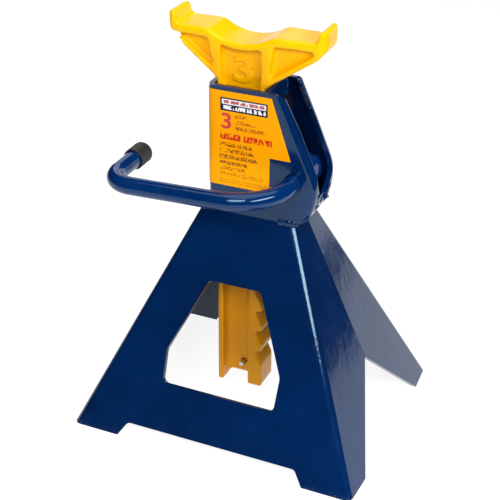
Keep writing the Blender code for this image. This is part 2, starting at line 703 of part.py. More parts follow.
def build_column(material, pin_material, parts, tools):
    """The cast column and saddle in one piece, with the stop pin through its web."""
    height = NECK_HEIGHT - COLUMN_FOOT
    lift = Matrix.Translation((0.0, 0.0, COLUMN_FOOT + height / 2.0))
    column = link("ratchet_column", slab(column_section(), height, lift), parts, material)
    head = slab(saddle_outline(), 2.0 * SADDLE_HALF_DEPTH, ALONG_Y, SADDLE_EDGE)
    combine(column, rack_cutter(), "DIFFERENCE", tools)
    combine(column, head, "UNION", tools)
    combine(column, draft_cutter(-1), "DIFFERENCE", tools)
    combine(column, draft_cutter(1), "DIFFERENCE", tools)
    combine(column, end_cutter(-1.0), "DIFFERENCE", tools)
    combine(column, end_cutter(1.0), "DIFFERENCE", tools)
    combine(column, pocket_cutters(), "DIFFERENCE", tools)
    web_left = COLUMN_LEFT + BACK_FLANGE
    web_right = COLUMN_RIGHT - RACK_FLANGE
    arch = [
        (web_left, COLUMN_FOOT - PAST, 0.0),
        (web_right, COLUMN_FOOT - PAST, 0.0),
        (web_right, COLUMN_FOOT + WEB_ARCH, WEB_ARCH / 2.0),
        (web_left, COLUMN_FOOT + WEB_ARCH, WEB_ARCH),
    ]
    combine(column, slab(rounded(arch), 3.0 * WEB_HALF_DEPTH, ALONG_Y), "DIFFERENCE", tools)
    place = Matrix.Translation((COLUMN_CENTRE, 0.0, COLUMN_FOOT + STOP_PIN_RISE)) @ ALONG_Y
    hole = drum(STOP_PIN_RADIUS + TOUCH_GAP, 4.0 * WEB_HALF_DEPTH, place, SMALL_ROUND_STEPS)
    combine(column, hole, "DIFFERENCE", tools)
    pin_mesh = drum(STOP_PIN_RADIUS, 2.0 * STOP_PIN_HALF_LENGTH, place, SMALL_ROUND_STEPS)
    pin = link("column_stop_pin", pin_mesh, parts, pin_material)
    shade_round(pin)
    return column


def build_guides(material, parts):
    """Two flat plates welded between the halves, which keep the teeth side of the column."""
    left = GUIDE_FACE
    right = GUIDE_FACE + GUIDE_THICKNESS
    top = TOWER_TOP - UPPER_GUIDE_DROP
    foot = BEND_HEIGHT + LOWER_GUIDE_RISE
    spans = {
        "upper_guide_plate": (top - UPPER_GUIDE_HEIGHT, top),
        "lower_guide_plate": (foot, foot + LOWER_GUIDE_HEIGHT),
    }
    for name, (low, high) in spans.items():
        plate = block((left, -INNER_HALF_DEPTH, low), (right, INNER_HALF_DEPTH, high))
        link(name, plate, parts, material)


def lever_line():
    """Centre line of the lever rod from its rear end, about the pivot."""
    front = -LEVER_FRONT
    right = LEVER_RIGHT_BEND
    left = LEVER_LEFT_BEND
    end = -(HANDLE_END + CAP_END + TOUCH_GAP)
    line = [(0.0, ROD_REAR_END)]
    line += arc((-right, front + right), right, 0.0, -90.0, 14)
    line += arc((left - LEVER_REACH, front + left), left, 270.0, 180.0, 10)
    line.append((-LEVER_REACH, end))
    return [(x, y, 0.0) for x, y in line]


def pawl_outline():
    """Side view of the pawl about the pivot when it sits in a notch."""
    root = TOOTH_ROOT - PIVOT.x
    flank = math.atan2(TOOTH_DEPTH, TOOTH_DROP)
    shift = PAWL_PLAY / math.cos(flank)
    top = PAWL_RISE - PAWL_DROP

    def flank_x(z):
        return root + shift + (PAWL_RISE - z) * math.tan(flank)

    nose = top - PAWL_NOSE
    chin = PAWL_RISE - TOOTH_DROP
    upper = Vector((COLUMN_RIGHT - PIVOT.x + TOOTH_DEPTH, top))
    lower = Vector((flank_x(chin), chin))
    head = [(flank_x(nose), nose), (flank_x(nose) + PAWL_NOSE / 4.0, top)]

    def tangent(point, side):
        spread = math.degrees(math.acos(PAWL_HUB_RADIUS / point.length))
        return math.degrees(math.atan2(point.y, point.x)) + side * spread

    hub = arc((0.0, 0.0), PAWL_HUB_RADIUS, tangent(upper, -1), tangent(lower, 1) - 360.0, 26)
    return head + [tuple(upper)] + hub + [tuple(lower)]


def build_lever(steel, rubber, zinc, parts, tools):
    """The bent rod with its pawl, cap, washer and split pin on one axis."""
    pivot = bpy.data.objects.new("lever_pivot", None)
    pivot.location = PIVOT
    parts.objects.link(pivot)
    tilt = bpy.data.objects.new("lever_tilt", None)
    tilt.rotation_euler = (0.0, -LEVER_DROOP, 0.0)
    tilt.parent = pivot
    parts.objects.link(tilt)

    rod = link("lever_handle", tube(lever_line(), ROD_RADIUS, 10), parts, steel)
    rod.parent = tilt
    shade_round(rod)
    pin_depth = (TOWER_HALF_DEPTH + TOUCH_GAP + WASHER_THICKNESS + ROD_REAR_END) / 2.0
    at_pin = Matrix.Translation((PIVOT.x, pin_depth, PIVOT.z))
    hole = drum(SPLIT_PIN_HOLE, 4.0 * ROD_RADIUS, at_pin, SMALL_ROUND_STEPS)
    combine(rod, hole, "DIFFERENCE", tools)

    lift = Matrix.Rotation(PAWL_LIFT, 4, "Y")
    pawl_mesh = slab(pawl_outline(), 2.0 * PAWL_HALF_WIDTH, lift @ ALONG_Y)
    pawl = link("pawl", pawl_mesh, parts, steel)
    pawl.parent = pivot
    bore = Matrix.Translation(PIVOT) @ ALONG_Y
    combine(pawl, drum(ROD_RADIUS + TOUCH_GAP, 4.0 * PAWL_HALF_WIDTH, bore), "DIFFERENCE", tools)

    bore_radius = ROD_RADIUS + TOUCH_GAP
    outside = bore_radius + CAP_WALL
    edge = outside / 3.0
    dome = arc((outside - edge, CAP_LENGTH - edge), edge, 90.0, 0.0, 5)
    profile = [(0.0, CAP_LENGTH)] + dome + [(outside, 0.0), (bore_radius, 0.0)]
    profile += [(bore_radius, CAP_LENGTH - CAP_END), (0.0, CAP_LENGTH - CAP_END)]
    cap = turned("grip_cap", profile, parts, rubber)
    cap.parent = tilt
    cap.location = (-LEVER_REACH, -HANDLE_END - CAP_LENGTH, 0.0)
    cap.rotation_euler = (math.radians(-90.0), 0.0, 0.0)

    inner = ROD_RADIUS + PIVOT_PLAY
    rim = ROD_RADIUS + WASHER_RIM
    ring = [(inner, WASHER_THICKNESS), (rim, WASHER_THICKNESS), (rim, 0.0)]
    washer = turned("pivot_washer", ring + [(inner, 0.0), ring[0]], parts, zinc)
    washer.location = PIVOT + Vector((0.0, TOWER_HALF_DEPTH + TOUCH_GAP, 0.0))
    washer.rotation_euler = (math.radians(-90.0), 0.0, 0.0)

    leg = SPLIT_PIN_WIRE + TOUCH_GAP / 2.0
    bend = math.degrees(math.acos(leg / SPLIT_PIN_EYE))
    eye_height = ROD_RADIUS + SPLIT_PIN_WIRE + TOUCH_GAP + SPLIT_PIN_EYE
    eye = arc((0.0, eye_height), SPLIT_PIN_EYE, 180.0 + bend, -bend, 18)
    knee = -ROD_RADIUS - SPLIT_PIN_STRAIGHT
    toe = [(leg + SPLIT_PIN_SPREAD, knee - SPLIT_PIN_TOE), (leg, knee)]
    route = [(-x, z) for x, z in toe] + eye + toe[::-1]
    wire = tube([(x, 0.0, z) for x, z in route], SPLIT_PIN_WIRE, 2)
    wire.transform(Matrix.Translation((0.0, pin_depth, 0.0)))
    pin = link("split_pin", wire, parts, zinc)
    pin.parent = pivot
    return rod


def turned(name, profile, parts, material):
    """A round piece from a profile of radius and height, listed down its outer side."""
    shell = bmesh.new()
    dots = [shell.verts.new((x, 0.0, z)) for x, z in profile]
    for first, second in zip(dots, dots[1:]):
        shell.edges.new((first, second))
    bmesh.ops.remove_doubles(shell, verts=shell.verts, dist=WELD_DISTANCE / 10.0)
    mesh = bpy.data.meshes.new(name)
    shell.to_mesh(mesh)
    shell.free()
    item = link(name, mesh, parts, material)
    screw = item.modifiers.new("turn", "SCREW")
    screw.steps = ROUND_STEPS
    screw.render_steps = ROUND_STEPS
    screw.use_merge_vertices = True
    screw.merge_threshold = WELD_DISTANCE
    screw.use_smooth_shade = False
    return item


def label_row(height, right_edges):
    """One row of the label, round the left fold and across the front face."""
    inner = TOWER_HALF_DEPTH - FOLD_RADIUS
    radius = FOLD_RADIUS + LABEL_GAP
    line = arc((TOWER_LEFT + FOLD_RADIUS, -inner), radius, 180.0, 270.0, FOLD_STEPS)
    line += [(x, -TOWER_HALF_DEPTH - LABEL_GAP) for x in right_edges]
    return [(x, y, height) for x, y in line]


def build_label(material, parts):
    """A thin stepped sheet stuck on the front of the tower."""
    shell = bmesh.new()
    step = TOWER_TOP - LABEL_STEP_DROP
    narrow = [CHEEK_OUT - LABEL_LOWER_INSET]
    top_row = label_row(TOWER_TOP - LABEL_TOP_DROP, narrow + [CHEEK_TOP - LABEL_TOP_INSET])
    step_row = label_row(step, narrow + [cheek_edge(step) - LABEL_STEP_INSET])
    skin(shell, [top_row, step_row])
    skin(shell, [label_row(step, narrow), label_row(BEND_HEIGHT + LABEL_FOOT_RISE, narrow)])
    bmesh.ops.remove_doubles(shell, verts=shell.verts, dist=WELD_DISTANCE)
    mesh = bpy.data.meshes.new("front_label")
    shell.to_mesh(mesh)
    shell.free()
    label = link("front_label", mesh, parts, material)
    film = label.modifiers.new("film", "SOLIDIFY")
    film.thickness = LABEL_THICKNESS
    film.offset = 1.0
    film.use_even_offset = True


def build_stand():
    clear_scene()
    parts = new_collection("ratchet_jack_stand")
    tools = new_collection("cutters")
    blue = make_material("blue_gloss_paint", (0.004, 0.022, 0.105), 0.25)
    yellow = make_material("yellow_paint", (1.0, 0.55, 0.0), 0.35)
    rubber = make_material("black_rubber", (0.02, 0.017, 0.014), 0.7)
    zinc = make_material("zinc_plate", (0.55, 0.55, 0.52), 0.35, 1.0)
    film = make_material("label_film", (1.0, 0.42, 0.01), 0.45)
    build_frame_half(-1, blue, parts, tools)
    build_frame_half(1, blue.copy(), parts, tools)
    build_guides(blue.copy(), parts)
    build_column(yellow, zinc.copy(), parts, tools)
    build_lever(blue.copy(), rubber, zinc, parts, tools)
    build_label(film, parts)


build_stand()
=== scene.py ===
"""Painted finish for the ratchet jack stand: soft folded edges, cast surfaces, welds and label.

The file is laid out as a Blender add-on. Sizes and colours that can be changed sit in the
property groups, each group of pieces has its own operator, and the panel lists them.
"""

import math

import bpy
from mathutils import Matrix, Vector


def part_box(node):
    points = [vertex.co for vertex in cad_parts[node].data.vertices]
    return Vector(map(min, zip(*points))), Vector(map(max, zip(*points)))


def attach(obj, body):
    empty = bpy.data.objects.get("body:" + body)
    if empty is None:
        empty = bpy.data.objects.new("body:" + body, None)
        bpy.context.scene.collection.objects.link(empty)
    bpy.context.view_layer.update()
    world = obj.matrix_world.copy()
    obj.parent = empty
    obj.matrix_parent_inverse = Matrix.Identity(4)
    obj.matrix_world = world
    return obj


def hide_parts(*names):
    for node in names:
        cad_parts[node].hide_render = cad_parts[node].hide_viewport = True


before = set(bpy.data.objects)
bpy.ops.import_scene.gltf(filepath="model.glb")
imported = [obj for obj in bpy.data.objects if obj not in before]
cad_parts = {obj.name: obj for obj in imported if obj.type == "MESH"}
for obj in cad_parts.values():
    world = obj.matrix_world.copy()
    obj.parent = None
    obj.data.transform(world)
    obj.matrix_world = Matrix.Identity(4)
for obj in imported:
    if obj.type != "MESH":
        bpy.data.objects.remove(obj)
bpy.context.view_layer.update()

bl_info = {
    "name": "Ratchet jack stand finish",
    "version": (1, 0, 0),
    "blender": (4, 5, 0),
    "location": "3D View > Sidebar > Jack Stand",
    "description": "Soft edges, paint, castings, welds and label for a ratchet jack stand",
    "category": "Object",
}

MM = 0.001

# Places on the stand that the paint, the welds and the numerals follow
BASE_HALF_WIDTH = 104.0 * MM
BASE_HALF_DEPTH = 84.0 * MM
FACE_SLOPE = 0.414
SIDE_SLOPE = 0.447
FLANGE_SPLAY = 0.049
FOLD_RADIUS = 5.0 * MM
WAIST_LOW = 155.0 * MM
WAIST_HIGH = 158.0 * MM
TOWER_INSIDE = 16.2 * MM
LIP_SLOPE = 0.44
LIP_REACH = 127.0 * MM
TOWER_LEFT = -28.4 * MM
SEAM_WELD_HEIGHTS = (176.0 * MM, 203.0 * MM, 230.0 * MM)
SEAM_WELD_REACH = 8.0 * MM
PIVOT_X = 32.0 * MM
PIVOT_Z = 187.0 * MM
# The slot's foot, in millimetres: half its width grows as a power of the height in it
SLOT_HALF_WIDTH = 13.4
SLOT_FOOT = 167.2
SLOT_RUN = 18.8
SLOT_FULLNESS = 0.6
# Heights on the column
# Below these heights the column is darkened as painted shade, for its part inside the tower.
SHADED_BELOW = (150.0 * MM, 235.0 * MM)
SADDLE_FOOT = 249.0 * MM
# From these heights up the saddle's top keeps the full yellow, lighter than the sides as painted
# light.
SADDLE_CROWN = (262.0 * MM, 274.0 * MM)
SADDLE_NUMERAL = (-7.6 * MM, 0.0, 254.0 * MM)
SADDLE_NUMERAL_DEPTH = 7.2 * MM
SADDLE_NUMERAL_WIDTH = 1.25
LABEL_NUMERAL = (-14.5 * MM, 0.01 * MM, 222.2 * MM)
LABEL_NUMERAL_WIDTH = 1.1

# Drops of paint: place and radius in millimetres
EDGE_DROPS = (
    (22.3, 14.6, 242.0, 1.1),
    (23.7, 13.9, 239.1, 0.9),
    (25.4, 13.5, 236.2, 1.2),
    (27.6, 13.5, 231.4, 0.8),
    (29.9, 13.4, 226.8, 1.1),
)


# Shader maths


class Signal:
    """A shader value that takes Python arithmetic; each step becomes one Math node."""

    def __init__(self, finish, socket):
        self.finish = finish
        self.socket = socket

    def step(self, operation, *others):
        sockets = {k: value for k, value in enumerate((self, *others))}
        return self.finish.node("ShaderNodeMath", {"operation": operation}, sockets)

    def __add__(self, other):
        return self.step("ADD", other)

    def __sub__(self, other):
        return self.step("SUBTRACT", other)

    def __mul__(self, other):
        return self.step("MULTIPLY", other)

    def __rsub__(self, other):
        minus = self.step("MULTIPLY", -1.0)
        return minus.step("ADD", other)

    __radd__ = __add__
    __rmul__ = __mul__

    def kept(self):
        """The value held between nothing and one."""
        return self.step("MINIMUM", 1.0).step("MAXIMUM", 0.0)

    def ramp(self, low, high):
        """Nothing below low, one above high, and a straight line between them."""
        return ((self - low) * (1.0 / (high - low))).kept()

    def inside(self, low, high, soft=0.06 * MM):
        """One between two limits and nothing outside them."""
        return self.ramp(low - soft, low + soft) * (1.0 - self.ramp(high - soft, high + soft))


class Finish:
    """A material under construction, with its Principled shader."""

    def __init__(self, name, **settings):
        self.material = bpy.data.materials.new(name)
        self.material.use_nodes = True
        self.tree = self.material.node_tree
        self.shader = self.tree.nodes["Principled BSDF"]
        for socket, value in settings.items():
            self.shader.inputs[socket.replace("_", " ").title()].default_value = value
        self.place = self.node("ShaderNodeTexCoord", {}, {}, "Object")

    def node(self, kind, settings, sockets, output=0):
        """Any node: its settings first, then its sockets as values or links."""
        node = self.tree.nodes.new(kind)
        for name, value in settings.items():
            setattr(node, name, value)
        for name, value in sockets.items():
            if isinstance(value, Signal):
                self.tree.links.new(value.socket, node.inputs[name])
            else:
                node.inputs[name].default_value = value
        return Signal(self, node.outputs[output])

    def noise(self, scale, detail=2.0, roughness=0.5, stretch=None):
        """Noise in the piece's own coordinates; stretch pulls it along an axis."""
        place = self.place
        if stretch:
            place = self.node("ShaderNodeMapping", {}, {"Vector": place, "Scale": stretch})
        sockets = {"Vector": place, "Scale": scale, "Detail": detail, "Roughness": roughness}
        return self.node("ShaderNodeTexNoise", {}, sockets)

    def along(self, axis):
        """One coordinate of the piece, in metres."""
        return self.node("ShaderNodeSeparateXYZ", {}, {"Vector": self.place}, axis)

    def blend(self, share, first, second):
        """Two colours or links mixed by a share."""
        colours = [c if isinstance(c, Signal) else (*c[:3], 1.0) for c in (first, second)]
        sockets = {0: share, 6: colours[0], 7: colours[1]}
        return self.node("ShaderNodeMix", {"data_type": "RGBA"}, sockets, 2)

    def feed(self, **signals):
        """Connect signals to the shader's sockets."""
        for name, signal in signals.items():
            self.tree.links.new(signal.socket, self.shader.inputs[name.replace("_", " ").title()])

    def relief(self, height, strength, distance):
        """Raise the surface by a height signal."""
        sockets = {"Height": height, "Strength": strength, "Distance": distance}
        self.feed(normal=self.node("ShaderNodeBump", {}, sockets))


def shaded(colour, factor):
    """A colour made lighter or darker by a factor."""
    return tuple(min(part * factor, 1.0) for part in colour[:3])


# Property groups


class StandPaint(bpy.types.PropertyGroup):
    blue: bpy.props.FloatVectorProperty(
        name="Blue paint",
        description="Gloss paint of the folded frame, the lever and the pawl",
        subtype="COLOR",
        size=3,
        min=0.0,
        max=1.0,
        default=(0.0002, 0.0145, 0.075),
    )
    yellow: bpy.props.FloatVectorProperty(
        name="Yellow paint",
        description="Paint of the cast column and its saddle",
        subtype="COLOR",
        size=3,
        min=0.0,
        max=1.0,
        default=(1.0, 0.56, 0.0),
    )
    film: bpy.props.FloatVectorProperty(
        name="Label film",
        description="Ground colour of the printed label",
        subtype="COLOR",
        size=3,
        min=0.0,
        max=1.0,
        default=(1.0, 0.375, 0.0),
    )
    rubber: bpy.props.FloatVectorProperty(
        name="Rubber",
        description="Colour of the cap on the lever",
        subtype="COLOR",
        size=3,
        min=0.0,
        max=1.0,
        default=(0.0165, 0.0132, 0.01045),
    )
    gloss: bpy.props.FloatProperty(
        name="Paint roughness",
        description="Roughness of the gloss paint where it is clean",
        subtype="FACTOR",
        min=0.0,
        max=1.0,
        default=0.1,
    )


class StandShape(bpy.types.PropertyGroup):
    sheet_edge: bpy.props.FloatProperty(
        name="Sheet edge",
        description="Width of the rounded paint on the edges of the folded sheet",
        unit="LENGTH",
        default=0.55 * MM,
    )
    casting_grain: bpy.props.FloatProperty(
        name="Casting grain",
        description="Size of the cells that the casting's skin is rebuilt from",
        unit="LENGTH",
        default=0.85 * MM,
    )
    casting_rounds: bpy.props.IntProperty(
        name="Casting rounding",
        description="How many times the casting's edges are softened",
        default=4,
    )
    saddle_rounds: bpy.props.IntProperty(
        name="Saddle rounding",
        description="How many more times the saddle's edges are softened",
        default=16,
    )
    numeral_height: bpy.props.FloatProperty(
        name="Numeral height",
        description="Height of the raised numeral on the saddle",
        unit="LENGTH",
        default=18.0 * MM,
    )
    bead_width: bpy.props.FloatProperty(
        name="Weld bead width",
        description="Width of the weld beads on the frame",
        unit="LENGTH",
        default=5.0 * MM,
    )


class StandStage(bpy.types.PropertyGroup):
    floor_size: bpy.props.FloatProperty(
        name="Floor size",
        description="Side of the pale floor",
        unit="LENGTH",
        default=1.8,
    )
    azimuth: bpy.props.FloatProperty(
        name="Camera azimuth",
        description="Turn of the camera from straight in front",
        subtype="ANGLE",
        default=math.radians(23.5),
    )
    elevation: bpy.props.FloatProperty(
        name="Camera elevation",
        description="Height of the camera as an angle",
        subtype="ANGLE",
        default=math.radians(29.2),
    )
    distance: bpy.props.FloatProperty(
        name="Camera distance",
        description="Distance from the camera to the middle of the stand",
        unit="LENGTH",
        default=0.841,
    )


# Materials


def inner_faces(paint, side):
    """One on the inner faces of a folded half's pyramid, where the paint gets painted shade. Side
    -1 is the front, 1 the rear.
    """
    x, z = paint.along(0), paint.along(2)
    out = paint.along(1) * side
    face = z * -FACE_SLOPE + BASE_HALF_DEPTH
    flange = (face - FOLD_RADIUS - out) * FLANGE_SPLAY
    wide = z * -SIDE_SLOPE + BASE_HALF_WIDTH + flange
    thin, thick = 2.6 * MM, 3.2 * MM
    within = (face - out).ramp(thin, thick) * (wide - x).ramp(thin, thick)
    within = within * (wide + x).ramp(thin, thick)
    return (within * (1.0 - z.ramp(WAIST_LOW, WAIST_HIGH))).kept()


def slot_faces(paint):
    """One on the faces inside the tower, behind the lips of the cheeks, where the paint gets
    painted shade.
    """
    x, z = paint.along(0), paint.along(2)
    between = paint.along(1).inside(-TOWER_INSIDE, TOWER_INSIDE, 0.5 * MM)
    behind = (z * -LIP_SLOPE + LIP_REACH - x).ramp(0.0, 1.5 * MM)
    within = between * behind * (1.0 - x.ramp(41.5 * MM, 43.0 * MM))
    return (within * z.ramp(WAIST_HIGH, 166.0 * MM)).kept()


def gloss_paint(name, settings, bead=False, lift=1.0, side=0.0):
    """Sprayed gloss enamel: slight orange peel, drift in depth, dust and dull scuffs.

    A bead is rougher. Lift makes the colour lighter. With a side, -1 for the front and 1 for the
    rear, that folded half gets painted shade: a much darker blue on the faces inside the tower
    and on its inner faces, which are also made rougher.
    """
    colour = shaded(settings.blue, lift)
    paint = Finish(name, roughness=settings.gloss, metallic=0.0)
    paint.shader.inputs["Specular Tint"].default_value = (0.6, 0.86, 1.0, 1.0)
    drift = paint.noise(14.0, 3.0).ramp(0.35, 0.7)
    cloud = paint.noise(55.0, 4.0).ramp(0.4, 0.75)
    scuff = paint.noise(160.0, 5.0, 0.62, stretch=(1.0, 1.0, 0.25)).ramp(0.62, 0.72)
    low = 1.0 - paint.along(2).ramp(0.0, 3.5 * MM)
    rub = (paint.noise(420.0, 4.0).ramp(0.5, 0.65) * low).kept()
    specks = paint.noise(2600.0, 1.0).ramp(0.74, 0.78)
    deep = paint.blend(drift, shaded(colour, 0.8), shaded(colour, 1.15))
    tone = paint.blend(cloud * 0.25, deep, shaded(colour, 1.5))
    dusty = paint.blend(specks * 0.25, tone, (0.32, 0.36, 0.42))
    worn_and_shaded = paint.blend(rub * 0.2, dusty, (0.12, 0.14, 0.17))
    dull = scuff * 0.12 + rub * 0.25 + cloud * 0.05 + settings.gloss
    # Painted shade: the faces inside the tower and the inner faces of this half get a much darker
    # blue, standing in for the shade inside the stand.
    if side:
        inner = inner_faces(paint, side)
        worn_and_shaded = paint.blend(slot_faces(paint) * 0.75, worn_and_shaded, shaded(colour, 0.15))
        worn_and_shaded = paint.blend(inner * 0.9, worn_and_shaded, shaded(colour, 0.08))
        dull = dull + inner * 0.5
    paint.feed(base_color=worn_and_shaded, roughness=dull.kept())
    peel = paint.noise(420.0, 2.0)
    wave = paint.noise(60.0, 2.0)
    sag = paint.noise(130.0, 3.0, stretch=(1.0, 1.0, 0.4))
    ripple = paint.noise(700.0, 3.0) * (0.8 if bead else 0.0)
    height = peel * 0.22 + wave * 0.9 + sag * 0.35 + ripple
    paint.relief(height, 0.55 if bead else 0.28, 0.6 * MM)
    return paint.material


def cast_paint(name, settings):
    """Yellow enamel over cast iron: soft sand grain, the saddle's top lighter than its sides as
    painted light, painted shade low on the column, small chips.
    """
    colour = settings.yellow
    red, green = colour[0], colour[1]
    paint = Finish(name, roughness=0.3, metallic=0.0)
    paint.shader.inputs["Specular IOR Level"].default_value = 0.3
    paint.shader.inputs["Specular Tint"].default_value = (1.0, 0.86, 0.4, 1.0)
    drift = paint.noise(22.0, 3.0).ramp(0.35, 0.7)
    pool = paint.noise(75.0, 4.0).ramp(0.5, 0.8)
    # Painted shade: the column is darker and browner towards its foot, where it stands in the
    # tower's shade.
    low = 1.0 - paint.along(2).ramp(*SHADED_BELOW)
    # Painted light: the saddle's top keeps the full yellow and everything below it is darker and
    # oranger, as though the top catches the light.
    lit_top = paint.along(2).ramp(*SADDLE_CROWN)
    warm = (red * 0.93, green * 0.66, 0.0)
    painted_shade_low = (red * 0.62, green * 0.44, 0.008)
    side = paint.blend(drift, (red, green * 0.8, 0.0), (red, green * 0.84, 0.0))
    deep = paint.blend(lit_top, side, colour)
    tone = paint.blend(pool * 0.3, deep, warm)
    tone = paint.blend(low * 0.8, tone, painted_shade_low)
    chips = paint.noise(310.0, 5.0, 0.6).ramp(0.735, 0.75)
    dirt = paint.noise(1500.0, 2.0).ramp(0.72, 0.78)
    marked = paint.blend(dirt * 0.25, tone, (0.35, 0.2, 0.02))
    paint.feed(base_color=paint.blend(chips * 0.5, marked, (0.22, 0.13, 0.03)))
    paint.feed(roughness=(pool * 0.1 + chips * 0.3 + drift * 0.06 + 0.24).kept())
    grain = paint.noise(520.0, 4.0, 0.55)
    swell = paint.noise(110.0, 3.0)
    paint.relief(grain * 0.45 + swell * 1.3 - chips * 0.4, 0.35, 0.6 * MM)
    return paint.material


def zinc_plate(name):
    """Plated steel with a faint yellow bloom and fine draw lines."""
    metal = Finish(name, roughness=0.34, metallic=1.0)
    bloom = metal.noise(160.0, 4.0).ramp(0.35, 0.7)
    spots = metal.noise(900.0, 3.0).ramp(0.66, 0.74)
    tone = metal.blend(bloom, (0.52, 0.53, 0.53), (0.56, 0.52, 0.4))
    metal.feed(base_color=metal.blend(spots * 0.6, tone, (0.25, 0.22, 0.18)))
    metal.feed(roughness=(bloom * 0.15 + spots * 0.3 + 0.26).kept())
    lines = metal.noise(500.0, 3.0, stretch=(1.0, 6.0, 6.0))
    metal.relief(lines, 0.15, 0.2 * MM)
    return metal.material


def moulded_rubber(name, settings):
    """Matt rubber with a fine mould grain and a little pale dust."""
    rubber = Finish(name, roughness=0.62, metallic=0.0)
    bloom = rubber.noise(120.0, 5.0, 0.6).ramp(0.4, 0.75)
    dust = rubber.noise(1500.0, 3.0).ramp(0.6, 0.72)
    tone = rubber.blend(bloom, shaded(settings.rubber, 0.75), shaded(settings.rubber, 1.7))
    rubber.feed(base_color=rubber.blend(dust * 0.35, tone, (0.12, 0.1, 0.08)))
    rubber.feed(roughness=(bloom * 0.2 + 0.5).kept())
    grain = rubber.noise(1300.0, 3.0)
    swell = rubber.noise(260.0, 3.0)
    rubber.relief(grain * 0.5 + swell, 0.35, 0.3 * MM)
    return rubber.material


# Printed lines on the label: left, right, bottom and top edges in millimetres
PRINT_SMALL = (
    (-8.4, 0.0, 224.9, 227.3),
    (-8.1, 5.9, 220.8, 223.3),
    (-8.4, 12.1, 216.8, 219.4),
)
PRINT_BODY = (
    (-19.1, 3.6, 204.5, 207.1),
    (-19.1, 4.4, 200.3, 203.0),
    (-19.4, 7.1, 195.8, 198.8),
    (-19.6, 0.3, 191.6, 194.1),
    (-19.6, -1.7, 187.9, 190.3),
)
PRINT_TITLE = ((-18.9, -4.6, 209.4, 213.7), (-2.4, 17.2, 209.4, 213.7))
PRINT_PANEL = ((-18.7, 14.0, 229.1, 238.1),)
PRINT_BAND = ((-17.6, 12.9, 233.6, 237.1),)
PRINT_BAND_MARKS = ((-16.6, 12.0, 234.3, 236.4),)
PRINT_PANEL_MARKS = ((-16.6, 12.6, 230.2, 232.8),)
PRINT_NOTES = (
    (-19.6, -4.4, 184.2, 186.2),
    (-3.6, 11.4, 185.2, 186.2),
    (-3.6, 12.0, 183.6, 184.6),
    (-19.8, 14.0, 180.5, 181.3),
    (-19.8, 14.6, 178.8, 179.6),
)


def print_mask(lines, x, z):
    """One where any of the printed lines lies."""
    total = None
    for left, right, low, high in lines:
        line = x.inside(left * MM, right * MM) * z.inside(low * MM, high * MM)
        total = line if total is None else total + line
    return total.kept()


def printed_film(name, settings):
    """Glossy label film with a framed panel and plain printed bars in place of wording."""
    film = Finish(name, roughness=0.32, metallic=0.0)
    film.shader.inputs["Specular IOR Level"].default_value = 0.1
    film.shader.inputs["Specular Tint"].default_value = (1.0, 0.85, 0.4, 1.0)
    x = film.along(0)
    z = film.along(2)
    drift = film.noise(40.0, 3.0).ramp(0.35, 0.7)
    ground = film.blend(drift, shaded(settings.film, 0.97), settings.film)
    marks = film.noise(1.0, 2.0, 0.6, stretch=(950.0, 1.0, 520.0)).ramp(0.47, 0.5)
    bold = film.noise(1.0, 1.0, 0.5, stretch=(620.0, 1.0, 260.0)).ramp(0.44, 0.47)
    word = film.noise(1.0, 0.0, 0.5, stretch=(150.0, 1.0, 230.0)).ramp(0.36, 0.38)
    small = print_mask(PRINT_SMALL, x, z) * marks * word
    body = print_mask(PRINT_BODY, x, z) * marks * word
    notes = print_mask(PRINT_NOTES, x, z) * marks
    title = print_mask(PRINT_TITLE, x, z) * bold
    panel = print_mask(PRINT_PANEL, x, z)
    band = print_mask(PRINT_BAND, x, z)
    band_marks = print_mask(PRINT_BAND_MARKS, x, z) * bold
    panel_marks = print_mask(PRINT_PANEL_MARKS, x, z) * bold
    tone = film.blend(small * 0.75, ground, (0.25, 0.03, 0.012))
    tone = film.blend(body * 0.85, tone, (0.16, 0.018, 0.006))
    tone = film.blend(notes * 0.55, tone, (0.16, 0.05, 0.006))
    tone = film.blend(title, tone, (0.62, 0.03, 0.01))
    tone = film.blend(panel, tone, (0.012, 0.014, 0.045))
    tone = film.blend(band, tone, (0.82, 0.8, 0.82))
    tone = film.blend(band_marks * 0.9, tone, (0.45, 0.03, 0.04))
    tone = film.blend(panel_marks, tone, (0.85, 0.85, 0.88))
    film.feed(base_color=tone)
    film.feed(roughness=(film.noise(300.0, 3.0).ramp(0.4, 0.7) * 0.12 + 0.26).kept())
    film.relief(film.noise(180.0, 3.0) + film.noise(700.0, 2.0) * 0.2, 0.12, 0.4 * MM)
    return film.material


def red_ink(name):
    """Screen-printed red ink with slight cover loss."""
    ink = Finish(name, roughness=0.35, metallic=0.0)
    cover = ink.noise(900.0, 3.0).ramp(0.3, 0.7)
    ink.feed(base_color=ink.blend(cover, (0.55, 0.018, 0.02), (0.68, 0.03, 0.028)))
    ink.feed(roughness=(cover * 0.1 + 0.3).kept())
    ink.relief(cover, 0.08, 0.1 * MM)
    return ink.material


def pale_floor(name):
    """Plain matt white floor."""
    floor = Finish(name, roughness=0.75, emission_strength=0.88)
    floor.shader.inputs["Emission Color"].default_value = (1.0, 1.0, 1.0, 1.0)
    drift = floor.noise(3.0, 2.0).ramp(0.3, 0.7)
    floor.feed(base_color=floor.blend(drift, (0.3, 0.3, 0.3), (0.32, 0.32, 0.32)))
    floor.feed(roughness=(drift * 0.05 + 0.72).kept())
    return floor.material


# Modelling helpers


def clear_selection():
    if bpy.context.mode != "OBJECT":
        bpy.ops.object.mode_set(mode="OBJECT")
    bpy.ops.object.select_all(action="DESELECT")


def pick(*pieces):
    """Select these pieces only, the last one active."""
    clear_selection()
    for piece in pieces:
        piece.select_set(True)
    bpy.context.view_layer.objects.active = pieces[-1]


